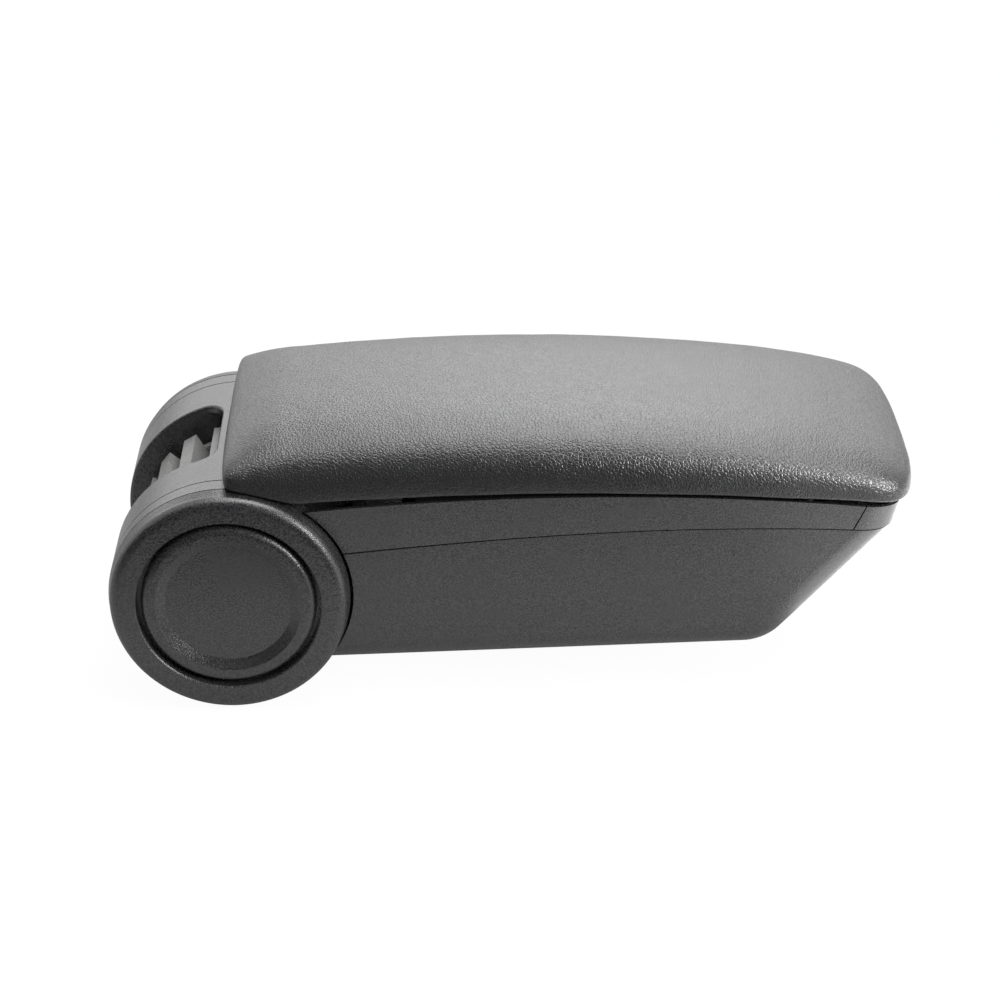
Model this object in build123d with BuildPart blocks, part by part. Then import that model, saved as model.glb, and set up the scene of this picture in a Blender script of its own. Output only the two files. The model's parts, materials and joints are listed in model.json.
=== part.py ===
from build123d import *
from math import cos, hypot, pi, radians, sin, sqrt, tan
import os

# Car centre armrest: a padded lid on a storage box that tilts up about a round hinge barrel.
# +X runs to the front of the armrest, +Y to its left side and +Z up. The origin is the middle of the
# face that bolts to the car's foot, and the hinge axis is level with it above, along Y.
# All lengths are in millimetres. Lengths forward are taken from the hinge axis.

# Main sizes
axis_height = 40.0
barrel_radius = 49.0
cushion_half = 60.4
cushion_rear = 0.0
cushion_front = 277.2

# Hinge barrel and the round caps at its ends
barrel_inset = 12.8
barrel_wall = 3.0
ring_width = 7.4
seam_gap = 0.55
cap_depth = 8.4
cap_taper = 0.8
cap_round = 4.4
slot_half = 26.0
slot_top_angle = 97.0
slot_low_angle = 290.0
slot_corner = 9.0
slot_lip = 1.2
cheek_thickness = 4.0

# Face of the round caps
groove_inset = 11.6
groove_width = 1.9
groove_lip = 0.5
centre_round = 3.2
dish_inset = 5.8
dish_slope = 4.0
dish_depth = 2.6
cap_web = 2.3
cap_recess = 0.2
stem_radius = 5.0
spigot_depth = 3.6
stem_depth = 2.0
centre_skin = 2.0
spigot_wall = 2.0

# Friction hinge
shaft_radius = 7.0
thread_radius = 5.0
core_side_gap = 2.5
core_wall = 8.0
core_flange = 34.0
core_flange_width = 3.5
rib_gap = 5.0
rib_thickness = 6.0
rib_count = 7
rib_first_angle = 100.0
rib_pitch_angle = 20.0
pad_length = 34.0
pad_width = 40.0
bolt_spacing = 26.0
insert_radius = 4.5
insert_bore = 2.5
insert_length = 14.0
friction_radius = 30.0
bush_wall = 2.5
bush_flange = 13.0
bush_flange_thickness = 1.5
washer_thickness = 1.4
washer_radius = 12.0
disc_spring_height = 2.0
disc_spring_sheet = 0.9
disc_spring_radius = 10.0
nut_flats = 17.0
nut_height = 6.0
shaft_tip = 0.8

# Pivots of the lid's hinge rings
ring_wall = 13.0
pivot_wall = 3.7
pivot_web = 2.6
pivot_bore = 20.0
pivot_screw_inset = 8.0
pivot_screw_count = 3
pivot_boss = 4.0
pivot_boss_depth = 8.0

# Storage box and collar, in plan
collar_overhang = 2.0
collar_lean = 2.4
box_lean = 3.8
front_overhang = 3.6
front_lean = 4.4
collar_wall = 2.0

# Storage box and collar, in side view. Heights in the lines are taken from the top of the barrel
frame_gap = 1.3
collar_line = ((40.0, -9.3), (158.0, -4.1), (272.0, -11.5))
seam_rear_line = ((20.0, -33.6), (45.0, -30.7), (110.0, -24.3), (166.0, -20.9), (206.0, -20.2))
seam_front_set = 22.6
seam_front_drop = 21.2
seam_end_set = 11.4
seam_end_drop = 24.0
seam_drop = 24.0
box_low_rear = (48.0, -34.8)
box_low_front = (209.0, -29.6)
box_drop = 81.0
slope_set = 1.4
slope_drop = 20.0
box_slope_angle = 49.5
box_slope_round = 22.0
box_wall = 2.5
box_edge_round = 12.0
lip_height = 3.0
lip_wall = 1.2

# Decks of the arm frame. Drops are taken from the top of the barrel
saddle_reach = 1.5
saddle_drop = 27.0
saddle_height = 14.5
saddle_inset = 3.6
saddle_screw_drop = 17.5
saddle_screw_spacing = 24.0
saddle_screw_count = 4
deck_thickness = 3.0
rear_deck_length = 19.5
rear_deck_drop = 25.0
rear_wall_rise = 0.5
front_deck_length = 13.0
front_deck_drop = 15.0
front_wall_thickness = 2.5
front_wall_depth = 2.0
post_radius = 4.5
rear_post_set = 11.5
front_post_set = 6.5
post_inset = 10.0

# Cushion and lid. Heights in the lines are taken from the top of the barrel
cushion_roundness = 3.0
cushion_steps = 28
section_steps = 16
section_depth = 15.0
arch_rear = (26.0, 22.4)
arch_peak = (118.0, 27.3)
arch_front_set = 79.2
arch_front_rise = 22.9
front_roll_length = 60.0
front_roll_drop = 5.5
front_edge_length = 7.0
front_edge_drop = 5.0
rear_roll_length = 25.0
rear_roll_drop = 8.5
roll_power = 1.8
front_corner_length = 24.0
front_corner_drop = 13.0
rear_corner_length = 7.0
rear_corner_drop = 3.5
under_rear_rise = 0.4
under_kink_line = (36.0, -4.5)
under_peak_line = (150.0, -1.4)
under_front_set = 0.8
under_front_drop = 8.7
cover_thickness = 1.5
cover_hem = 4.2
pan_thickness = 3.0
soft_gap = 0.15
lid_gap = 0.7
skirt_wall = 2.0
skirt_depth = 5.0
skirt_gap = 1.2
skirt_end_gap = 6.0
arm_pad_start = 6.0
arm_pad_end = 30.0
arm_pad_overlap = 12.5
arm_screw_x = (11.0, 25.0)

# Latch at the front, set out from its pivot
latch_set = 19.6
latch_drop = 13.0
lever_seam_high = (2.6, 2.4)
lever_seam_foot = (-1.2, -6.8)
lever_gap = 0.6
lever_pin_radius = 1.75
lever_ear_radius = 4.0
lever_ear_width = 4.0
lever_ear_inset = 7.0
lever_lug_width = 3.0
lever_web_drop = 4.8
lever_web_thickness = 2.4
lever_web_length = 14.0
lever_tail_length = 9.0
lever_tail_half = 6.0
latch_wall_set = 13.0
tongue_set = 5.0
tongue_thickness = 2.0
tongue_half = 7.0
tongue_nose = 0.6
tongue_nose_height = 1.4
tongue_rise = 9.6
strike_gap = 1.0
strike_length = 5.6
strike_thickness = 1.4
strike_half = 9.0
pan_slot_margin = 2.0
spring_coil = 2.6
spring_wire = 0.45
spring_turns = 4
spring_set = 6.0
spring_seat_drop = 12.0
spring_seat_thickness = 2.5
spring_seat_set = 2.0
bumper_radius = 5.0
bumper_stem = 2.5
bumper_round = 1.5
bumper_half_spacing = 28.0

# Screws and clearances
screw_radius = 1.6
screw_head = 2.9
screw_head_height = 1.2
screw_socket = 1.3
screw_socket_depth = 0.8
screw_grip = 8.0
screw_tip = 1.0
screw_seat = 1.2
lid_screw_grip = 9.0
running_gap = 0.3
pin_gap = 0.05
seat_gap = 0.02

hub_axis = Axis((0, 0, axis_height), (0, 1, 0))

os.makedirs("parts", exist_ok=True)


def across(y):
    """Upright plane across the hinge axis: local x runs forward, local y up from the axis."""
    return Plane(origin=(0, y, axis_height), x_dir=(1, 0, 0), z_dir=(0, -1, 0))


def level(height):
    """Flat plane at a height above the hinge axis."""
    return Plane.XY.offset(axis_height + height)


def station(x):
    """Upright plane across the armrest's length: local x runs to its left, local y up."""
    return Plane(origin=(x, 0, axis_height), x_dir=(0, 1, 0), z_dir=(1, 0, 0))


def circle_through(a, b, c):
    """Centre and radius of the circle through three points."""
    d = 2 * (a[0] * (b[1] - c[1]) + b[0] * (c[1] - a[1]) + c[0] * (a[1] - b[1]))
    squares = [p[0] ** 2 + p[1] ** 2 for p in (a, b, c)]
    x = (squares[0] * (b[1] - c[1]) + squares[1] * (c[1] - a[1]) + squares[2] * (a[1] - b[1])) / d
    z = (squares[0] * (c[0] - b[0]) + squares[1] * (a[0] - c[0]) + squares[2] * (b[0] - a[0])) / d
    return x, z, hypot(a[0] - x, a[1] - z)


def arc_height(points, x):
    """Height at x of the arched line through three points."""
    centre_x, centre_z, radius = circle_through(*points)
    return centre_z + sqrt(radius**2 - (x - centre_x) ** 2)


def save(piece, name):
    """Label a finished piece and write it under its own name."""
    piece.label = name
    export_step(piece, f"parts/{name}.step")


def save_pair(piece, name):
    """Write a left piece and its mirror image on the right."""
    save(piece, f"{name}_left")
    save(mirror(piece, about=Plane.XZ), f"{name}_right")


def screw_set(seats, length):
    """Socket screws, one for each seat plane under its head, in one group of separate solids."""
    with BuildPart() as screws:
        for seat in seats:
            with BuildSketch(seat):
                Circle(screw_radius)
            extrude(amount=-length)
            with BuildSketch(seat):
                Circle(screw_head)
            extrude(amount=screw_head_height)
            with BuildSketch(seat.offset(screw_head_height)):
                RegularPolygon(radius=screw_socket, side_count=6)
            extrude(amount=-screw_socket_depth, mode=Mode.SUBTRACT)
    return screws.part


def from_barrel_top(points):
    """A side-view line with its heights moved from the barrel's top to the hinge axis."""
    return tuple((x, barrel_radius + z) for x, z in points)


# Stations along the hinge axis, from the middle outwards
core_half = slot_half - core_side_gap
cheek_outer = slot_half + cheek_thickness
barrel_half = cushion_half - barrel_inset
end_wall_inner = barrel_half - barrel_wall
ring_inner = barrel_half + seam_gap
ring_outer = ring_inner + ring_width
cap_inner = ring_outer + seam_gap
cap_face = cap_inner + cap_depth
pivot_end = ring_outer - seam_gap
barrel_inside = barrel_radius - barrel_wall
frame_radius = barrel_radius + frame_gap
lid_radius = barrel_radius + lid_gap

# Radii about the hinge axis, from the outside inwards
groove_outer = barrel_radius - groove_inset
groove_inner = groove_outer - groove_width
dish_outer = groove_inner - dish_inset
dish_inner = dish_outer - dish_slope
pivot_radius = barrel_radius - ring_wall
pivot_inside = pivot_radius - pivot_wall
pivot_screw_circle = pivot_radius - pivot_screw_inset
chamber_bore = pivot_screw_circle - pivot_boss
rib_tip = barrel_inside - rib_gap
core_tube = shaft_radius + core_wall

# Half-widths and ends of the collar and the box
collar_half = cushion_half - collar_overhang
seam_half = collar_half - collar_lean
box_half = seam_half - box_lean
collar_front_x = cushion_front - front_overhang
seam_front = collar_front_x - front_lean
box_slope_top = (seam_front + slope_set, barrel_radius - slope_drop)

# Lines of the side view
collar_arc = from_barrel_top(collar_line)
collar_level = collar_arc[1][1]
seam_ends = (
    (collar_front_x - seam_front_set, -seam_front_drop),
    (collar_front_x + seam_end_set, -seam_end_drop),
)
seam_points = from_barrel_top(seam_rear_line + seam_ends)
seam_high = max(z for x, z in seam_points)
seam_level = barrel_radius - seam_drop
box_level = barrel_radius - box_drop
under_rear_height = barrel_radius + under_rear_rise
under_front_end = (cushion_front + under_front_set, -under_front_drop)
under_arc = from_barrel_top((under_kink_line, under_peak_line, under_front_end))
under_kink, under_peak, under_front = under_arc
arch_front_end = (cushion_front - arch_front_set, arch_front_rise)
arch = from_barrel_top((arch_rear, arch_peak, arch_front_end))

# Places of the decks, forward from the barrel's saddle and back from the latch's pivot
saddle_face = barrel_radius + saddle_reach
saddle_low = barrel_radius - saddle_drop
saddle_high = saddle_low + saddle_height
saddle_half = barrel_half - saddle_inset
saddle_screw_level = barrel_radius - saddle_screw_drop
rear_deck_end = saddle_face + rear_deck_length
rear_deck_level = barrel_radius - rear_deck_drop
rear_wall_high = saddle_high + rear_wall_rise
rear_post_x = saddle_face + rear_post_set
lever_pivot = (collar_front_x - latch_set, barrel_radius - latch_drop)
front_wall_face = lever_pivot[0] - latch_wall_set
front_deck_start = front_wall_face - front_deck_length
front_deck_level = barrel_radius - front_deck_drop
front_wall_low = front_deck_level - front_wall_depth
front_post_x = front_deck_start + front_post_set
skirt_start = rear_deck_end + skirt_end_gap
skirt_end = front_deck_start - skirt_end_gap
arm_pad_low = barrel_radius - arm_pad_overlap

# Places of the latch, from its pivot
lever_seam_top = (lever_pivot[0] + lever_seam_high[0], lever_pivot[1] + lever_seam_high[1])
lever_seam_low = (lever_pivot[0] + lever_seam_foot[0], lever_pivot[1] + lever_seam_foot[1])
lever_ear_outer = seam_half - lever_ear_inset
lever_web_low = lever_pivot[1] - lever_web_drop
lever_web_front = lever_pivot[0] + lever_web_length
lever_tail_end = lever_pivot[0] - lever_tail_length
tongue_x = lever_pivot[0] + tongue_set
tongue_high = lever_pivot[1] + tongue_rise
spring_x = lever_pivot[0] - spring_set
spring_seat_level = lever_pivot[1] - spring_seat_drop
spring_seat_end = lever_pivot[0] - spring_seat_set


def under_height(x):
    """Height of the cushion's underside, straight over the barrel and arched in front of it."""
    if x < under_kink[0]:
        share = (x - cushion_rear) / (under_kink[0] - cushion_rear)
        return under_rear_height + share * (under_kink[1] - under_rear_height)
    return arc_height(under_arc, x)


def under_region(rise, floor):
    """Side view of everything from a floor up to a line at a rise above the cushion's underside."""
    rear = cushion_rear - barrel_radius
    rear_slope = (under_kink[1] - under_rear_height) / (under_kink[0] - cushion_rear)
    rear_height = under_rear_height + rear_slope * (rear - cushion_rear)
    front = cushion_front + barrel_radius
    with BuildSketch(across(0), mode=Mode.PRIVATE) as region:
        with BuildLine():
            Line((rear, floor), (rear, rear_height + rise))
            Line((rear, rear_height + rise), (under_kink[0], under_kink[1] + rise))
            ThreePointArc(*[(x, z + rise) for x, z in under_arc])
            Polyline(
                (under_front[0], under_front[1] + rise),
                (front, under_front[1] + rise),
                (front, floor),
                (rear, floor),
            )
        make_face()
    return region.sketch


# Hinge core, bolted to the foot and fixed in the car
with BuildPart() as hinge_core:
    with BuildSketch(across(core_half)):
        Circle(core_tube)
    extrude(amount=2 * core_half)
    with BuildSketch(across(core_half), across(core_flange_width - core_half)):
        Circle(core_flange)
    extrude(amount=core_flange_width)
    with BuildSketch(across(core_half - core_flange_width)):
        for rib in range(rib_count):
            with Locations(Rotation(0, 0, rib_first_angle + rib * rib_pitch_angle)):
                with Locations((rib_tip / 2, 0)):
                    Rectangle(rib_tip, rib_thickness)
    extrude(amount=2 * (core_half - core_flange_width))
    with BuildSketch(level(-axis_height)):
        Rectangle(pad_length, pad_width)
    extrude(amount=axis_height - core_tube / 2)
    with BuildSketch(across(core_half)):
        Circle(shaft_radius + seat_gap)
    extrude(amount=2 * core_half, mode=Mode.SUBTRACT)
    with BuildSketch(level(-axis_height)):
        with GridLocations(0, bolt_spacing, 1, 2):
            Circle(insert_radius + seat_gap)
    extrude(amount=insert_length, mode=Mode.SUBTRACT)
save(hinge_core.part, "hinge_core")

# Threaded brass inserts for the foot's two bolts
with BuildPart() as foot_inserts:
    with BuildSketch(level(-axis_height)):
        with GridLocations(0, bolt_spacing, 1, 2):
            Circle(insert_radius)
            Circle(insert_bore, mode=Mode.SUBTRACT)
    extrude(amount=insert_length)
save(foot_inserts.part, "foot_inserts")

# Pivot shaft, with a threaded end of smaller radius beyond each bush
thrust_start = cheek_outer + bush_flange_thickness + seat_gap
spring_start = thrust_start + washer_thickness
nut_start = spring_start + disc_spring_height
shaft_half = nut_start + nut_height + shaft_tip
with BuildPart() as pivot_shaft:
    with BuildSketch(across(thrust_start)):
        Circle(shaft_radius)
    extrude(amount=2 * thrust_start)
    with BuildSketch(across(shaft_half)):
        Circle(thread_radius)
    extrude(amount=2 * shaft_half)
    chamfer(pivot_shaft.edges().group_by(Axis.Y)[0] + pivot_shaft.edges().group_by(Axis.Y)[-1], shaft_tip)
save(pivot_shaft.part, "pivot_shaft")

# Friction discs between the core and the barrel's cheeks
with BuildPart() as friction_disc:
    with BuildSketch(across(slot_half - pin_gap)):
        Circle(friction_radius)
        Circle(shaft_radius + pin_gap, mode=Mode.SUBTRACT)
    extrude(amount=slot_half - pin_gap - core_half - seat_gap)
save_pair(friction_disc.part, "friction_disc")

# Flanged bushes in the cheeks
with BuildPart() as bush:
    with BuildSketch(across(cheek_outer)):
        Circle(shaft_radius + bush_wall)
    extrude(amount=cheek_thickness)
    with BuildSketch(across(cheek_outer + bush_flange_thickness)):
        Circle(bush_flange)
    extrude(amount=bush_flange_thickness)
    with BuildSketch(across(cheek_outer + bush_flange_thickness)):
        Circle(shaft_radius + pin_gap)
    extrude(amount=cheek_thickness + bush_flange_thickness, mode=Mode.SUBTRACT)
save_pair(bush.part, "bush")

# Thrust washers, conical disc springs and nuts on the shaft's ends
with BuildPart() as thrust_washer:
    with BuildSketch(across(spring_start)):
        Circle(washer_radius)
        Circle(thread_radius + pin_gap, mode=Mode.SUBTRACT)
    extrude(amount=washer_thickness)
save_pair(thrust_washer.part, "thrust_washer")

with BuildPart() as disc_spring:
    with BuildSketch(level(0)):
        with BuildLine():
            Polyline(
                (disc_spring_radius, spring_start),
                (disc_spring_radius, spring_start + disc_spring_sheet),
                (thread_radius + pin_gap, nut_start),
                (thread_radius + pin_gap, nut_start - disc_spring_sheet),
                close=True,
            )
        make_face()
    revolve(axis=hub_axis)
save_pair(disc_spring.part, "disc_spring")

with BuildPart() as shaft_nut:
    with BuildSketch(across(nut_start + nut_height)):
        RegularPolygon(radius=nut_flats / 2, side_count=6, major_radius=False)
        Circle(thread_radius + pin_gap, mode=Mode.SUBTRACT)
    extrude(amount=nut_height)
save_pair(shaft_nut.part, "shaft_nut")

# Hinge barrel: a drum with a slot round its back, two cheeks, open end walls and a saddle in front
with BuildPart() as hinge_barrel:
    with BuildSketch(across(barrel_half)):
        Circle(barrel_radius)
        Circle(barrel_inside, mode=Mode.SUBTRACT)
    extrude(amount=2 * barrel_half)
    with BuildSketch(across(0)):
        with BuildLine():
            far = 2 * barrel_radius
            middle_angle = (slot_top_angle + slot_low_angle) / 2
            Polyline(
                (0, 0),
                (far * cos(radians(slot_top_angle)), far * sin(radians(slot_top_angle))),
                (far * cos(radians(middle_angle)), far * sin(radians(middle_angle))),
                (far * cos(radians(slot_low_angle)), far * sin(radians(slot_low_angle))),
                close=True,
            )
        make_face()
    extrude(amount=slot_half, both=True, mode=Mode.SUBTRACT)
    wall_edges = hinge_barrel.edges().filter_by(GeomType.LINE).filter_by(Axis.Y, reverse=True)
    slot_corners = wall_edges.filter_by_position(Axis.Y, -slot_half, slot_half).group_by(Axis.X)[0]
    fillet(slot_corners, slot_corner)
    drum_face = hinge_barrel.faces().filter_by(GeomType.CYLINDER).sort_by(SortBy.AREA)[-1]
    slot_edges = drum_face.edges().filter_by(lambda e: abs(e.center().Y) <= slot_half)
    fillet(slot_edges, slot_lip)
    with BuildSketch(across(cheek_outer), across(-slot_half)):
        Circle(barrel_inside)
    extrude(amount=cheek_thickness)
    with BuildSketch(across(barrel_half), across(-end_wall_inner)):
        Circle(barrel_inside)
        Circle(chamber_bore, mode=Mode.SUBTRACT)
    extrude(amount=barrel_wall)
    with BuildSketch(across(end_wall_inner), across(pivot_boss_depth - end_wall_inner)):
        with PolarLocations(pivot_screw_circle, pivot_screw_count):
            Circle(pivot_boss)
    extrude(amount=pivot_boss_depth)
    with BuildSketch(across(saddle_half)):
        with Locations(((saddle_face + barrel_radius / 2) / 2, (saddle_low + saddle_high) / 2)):
            Rectangle(saddle_face - barrel_radius / 2, saddle_high - saddle_low)
        Circle(barrel_radius - barrel_wall / 2, mode=Mode.SUBTRACT)
    extrude(amount=2 * saddle_half)
    with BuildSketch(across(cheek_outer)):
        Circle(shaft_radius + bush_wall + seat_gap)
    extrude(amount=2 * cheek_outer, mode=Mode.SUBTRACT)
    with BuildSketch(across(barrel_half), across(barrel_wall + pivot_boss_depth - barrel_half)):
        with PolarLocations(pivot_screw_circle, pivot_screw_count):
            Circle(screw_radius + seat_gap)
    extrude(amount=barrel_wall + pivot_boss_depth, mode=Mode.SUBTRACT)
    with BuildSketch(station(saddle_face)):
        with Locations((0, saddle_screw_level)):
            with GridLocations(saddle_screw_spacing, 0, saddle_screw_count, 1):
                Circle(screw_radius + seat_gap)
    extrude(amount=-screw_grip - screw_tip, mode=Mode.SUBTRACT)
save(hinge_barrel.part, "hinge_barrel")

# Pivots that carry the lid's hinge rings, screwed to the barrel's end walls
with BuildPart() as lid_pivot:
    with BuildSketch(across(pivot_end)):
        Circle(pivot_radius)
        Circle(pivot_inside, mode=Mode.SUBTRACT)
    extrude(amount=pivot_end - barrel_half)
    with BuildSketch(across(barrel_half + pivot_web)):
        Circle(pivot_radius)
        Circle(pivot_bore, mode=Mode.SUBTRACT)
        with PolarLocations(pivot_screw_circle, pivot_screw_count):
            Circle(screw_radius + running_gap, mode=Mode.SUBTRACT)
    extrude(amount=pivot_web)
save_pair(lid_pivot.part, "lid_pivot")

pivot_seats = []
for side in (1, -1):
    for turn in range(pivot_screw_count):
        angle = 2 * pi * turn / pivot_screw_count
        seat_x = pivot_screw_circle * cos(angle)
        seat_z = axis_height + pivot_screw_circle * sin(angle)
        seat_y = side * (barrel_half + pivot_web)
        pivot_seats.append(Plane(origin=(seat_x, seat_y, seat_z), z_dir=(0, side, 0)))
save(screw_set(pivot_seats, pivot_web + barrel_wall + screw_grip), "pivot_screws")

# Hub caps with a tapered, rounded rim, a groove in their face and a spigot in the pivot
rim_radius = barrel_radius - cap_taper
spigot_radius = pivot_inside - running_gap
web_face = cap_inner + cap_web
with BuildPart() as hub_cap:
    with BuildSketch(level(0)):
        with BuildLine():
            Polyline(
                (rim_radius, cap_face - cap_round),
                (barrel_radius, cap_inner),
                (spigot_radius, cap_inner),
                (spigot_radius, cap_inner - spigot_depth),
                (spigot_radius - spigot_wall, cap_inner - spigot_depth),
                (spigot_radius - spigot_wall, cap_inner),
                (stem_radius + pin_gap, cap_inner),
                (stem_radius + pin_gap, web_face),
                (groove_outer, web_face),
                (groove_outer, cap_face - groove_lip),
                (groove_outer + groove_lip, cap_face),
                (rim_radius - cap_round, cap_face),
            )
            RadiusArc((rim_radius - cap_round, cap_face), (rim_radius, cap_face - cap_round), cap_round)
        make_face()
    revolve(axis=hub_axis)
save_pair(hub_cap.part, "hub_cap")

# Centre caps with a dished face, on a stem in the hub caps
centre_face = cap_face - cap_recess
centre_back = centre_face - dish_depth - centre_skin
with BuildPart() as centre_cap:
    with BuildSketch(level(0)):
        with BuildLine():
            Polyline(
                (groove_inner - centre_round, centre_face),
                (dish_outer, centre_face),
                (dish_inner, centre_face - dish_depth),
                (0, centre_face - dish_depth),
                (0, cap_inner - stem_depth),
                (stem_radius, cap_inner - stem_depth),
                (stem_radius, centre_back),
                (groove_inner - spigot_wall, centre_back),
                (groove_inner - spigot_wall, web_face + seat_gap),
                (groove_inner, web_face + seat_gap),
                (groove_inner, centre_face - centre_round),
            )
            RadiusArc(
                (groove_inner, centre_face - centre_round),
                (groove_inner - centre_round, centre_face),
                -centre_round,
            )
        make_face()
    revolve(axis=hub_axis)
save_pair(centre_cap.part, "centre_cap")


def between(height, low_height, low_value, high_height, high_value):
    """A size at one height, in line with its values at two others."""
    return low_value + (height - low_height) / (high_height - low_height) * (high_value - low_value)


def collar_outline(height, inset):
    """Plan of the collar at a height, with the corners that the box's rounded edges give it."""
    half = between(height, seam_level, seam_half, collar_level, collar_half) - inset
    front = between(height, seam_level, seam_front, collar_level, collar_front_x) - inset
    corner_y = box_edge_round - inset
    corner_x = corner_y / sin(radians(box_slope_angle))
    with BuildSketch(level(height), mode=Mode.PRIVATE) as outline:
        with BuildLine():
            Line((0, half), (0, -half))
            Line((0, -half), (front - corner_x, -half))
            EllipticalCenterArc((front - corner_x, corner_y - half), corner_x, corner_y, 270, arc_size=90)
            Line((front, corner_y - half), (front, half - corner_y))
            EllipticalCenterArc((front - corner_x, half - corner_y), corner_x, corner_y, 0, arc_size=90)
            Line((front - corner_x, half), (0, half))
        make_face()
    return outline.sketch


def seam_region(rise, ceiling):
    """Side view of everything from a line at a rise above the box's seam up to a ceiling."""
    first = seam_points[0]
    last = seam_points[-1]
    with BuildSketch(across(0), mode=Mode.PRIVATE) as region:
        with BuildLine():
            Spline(*[(x, z + rise) for x, z in seam_points])
            Line((last[0], last[1] + rise), (last[0], ceiling))
            Line((last[0], ceiling), (first[0], ceiling))
            Line((first[0], ceiling), (first[0], first[1] + rise))
        make_face()
    return region.sketch


def side_walls(inset, low, high):
    """A block between the box's leaning side walls, drawn in by an inset."""
    sections = []
    for height in (low, high):
        half = between(height, box_level, box_half, seam_level, seam_half) - inset
        with BuildSketch(level(height), mode=Mode.PRIVATE) as section:
            with Locations((cushion_front / 2, 0)):
                Rectangle(cushion_front + barrel_radius, 2 * half)
        sections.append(section.sketch)
    with BuildPart(mode=Mode.PRIVATE) as walls:
        loft(sections, ruled=True)
    return walls.part


def box_blank(inset):
    """The storage box as a solid block, drawn in by an inset and open-ended above its seam."""
    slope = tan(radians(box_slope_angle))
    slope_x = box_slope_top[0] - inset / sin(radians(box_slope_angle))
    floor_slope = (box_low_front[1] - box_low_rear[1]) / (box_low_front[0] - box_low_rear[0])
    floor_z = box_low_rear[1] + inset * sqrt(1 + floor_slope**2)
    rear_z = floor_z - floor_slope * box_low_rear[0]
    corner_x = (box_slope_top[1] - slope * slope_x - rear_z) / (floor_slope - slope)
    corner_z = floor_z + floor_slope * (corner_x - box_low_rear[0])
    top = seam_high + lip_height
    top_x = slope_x + (top - box_slope_top[1]) / slope
    walls = side_walls(inset, box_low_rear[1] - box_edge_round, top)
    with BuildPart(mode=Mode.PRIVATE) as blank:
        with BuildSketch(across(0)):
            with BuildLine():
                Polyline((0, rear_z), (corner_x, corner_z), (top_x, top), (0, top), close=True)
            make_face()
            fillet(vertices().sort_by_distance((corner_x, corner_z))[0], box_slope_round - inset)
        extrude(amount=cushion_half, both=True)
        add(walls, mode=Mode.INTERSECT)
        side_edges = blank.edges().filter_by(
            lambda e: abs(e.center().Y) > box_half / 2
            and e.center().X > box_edge_round
            and e.center().Z < axis_height + seam_high
        )
        fillet(side_edges, box_edge_round - inset)
        with BuildSketch(across(cushion_half)):
            Circle(frame_radius + inset)
        extrude(amount=2 * cushion_half, mode=Mode.SUBTRACT)
    return blank.part


# Arm frame: the collar round the box's mouth, with decks at both ends, a wall for the barrel's saddle,
# lugs for the latch pins and a seat for the latch spring
collar_peak = collar_arc[1]
collar_low = seam_points[0][1] - box_edge_round
collar_high = collar_peak[1] + box_edge_round
collar_tip = collar_front_x + box_edge_round
with BuildPart() as collar_solid:
    loft([collar_outline(collar_low, 0), collar_outline(collar_high, 0)], ruled=True)
    with BuildSketch(across(cushion_half)):
        Circle(frame_radius)
    extrude(amount=2 * cushion_half, mode=Mode.SUBTRACT)
with BuildPart() as collar_band:
    add(collar_solid.part)
    inner_outlines = [collar_outline(height, collar_wall) for height in (collar_low, collar_high)]
    loft(inner_outlines, ruled=True, mode=Mode.SUBTRACT)
    extrude(seam_region(seam_gap, collar_high), amount=cushion_half, both=True, mode=Mode.INTERSECT)
    with BuildSketch(across(0)):
        with BuildLine():
            ThreePointArc(
                (0, arc_height(collar_arc, 0)),
                collar_peak,
                (collar_tip, arc_height(collar_arc, collar_tip)),
            )
            Polyline(
                (collar_tip, arc_height(collar_arc, collar_tip)),
                (collar_tip, collar_high),
                (0, collar_high),
                (0, arc_height(collar_arc, 0)),
            )
        make_face()
    extrude(amount=cushion_half, both=True, mode=Mode.SUBTRACT)

lever_lean = (lever_seam_top[0] - lever_seam_low[0]) / (lever_seam_top[1] - lever_seam_low[1])


def lever_side(shift):
    """Side view of all that lies in front of the latch lever's slanted seam."""
    low_x = lever_seam_low[0] + shift + lever_lean * (collar_low - lever_seam_low[1])
    high_x = lever_seam_low[0] + shift + lever_lean * (collar_high - lever_seam_low[1])
    with BuildSketch(across(0), mode=Mode.PRIVATE) as region:
        with BuildLine():
            Polyline(
                (low_x, collar_low),
                (collar_tip, collar_low),
                (collar_tip, collar_high),
                (high_x, collar_high),
                close=True,
            )
        make_face()
    return region.sketch


wall_front = saddle_face + deck_thickness
front_wall_end = front_wall_face + front_wall_thickness
front_deck_top = front_deck_level + deck_thickness
rear_deck_top = rear_deck_level + deck_thickness
post_y = seam_half - post_inset
lug_inner = lever_ear_outer + running_gap
spring_seat_top = spring_seat_level + spring_seat_thickness
with BuildPart() as decks:
    with BuildSketch(across(cushion_half)):
        with Locations(((saddle_face + wall_front) / 2, (saddle_low + rear_wall_high) / 2)):
            Rectangle(deck_thickness, rear_wall_high - saddle_low)
        with Locations(((saddle_face + rear_deck_end) / 2, rear_deck_level + deck_thickness / 2)):
            Rectangle(rear_deck_end - saddle_face, deck_thickness)
        with Locations(((front_deck_start + front_wall_end) / 2, front_deck_level + deck_thickness / 2)):
            Rectangle(front_wall_end - front_deck_start, deck_thickness)
        with Locations(((front_wall_face + front_wall_end) / 2, (front_wall_low + front_deck_top) / 2)):
            Rectangle(front_wall_thickness, front_deck_top - front_wall_low)
    extrude(amount=2 * cushion_half)
    add(collar_solid.part, mode=Mode.INTERSECT)
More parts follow.
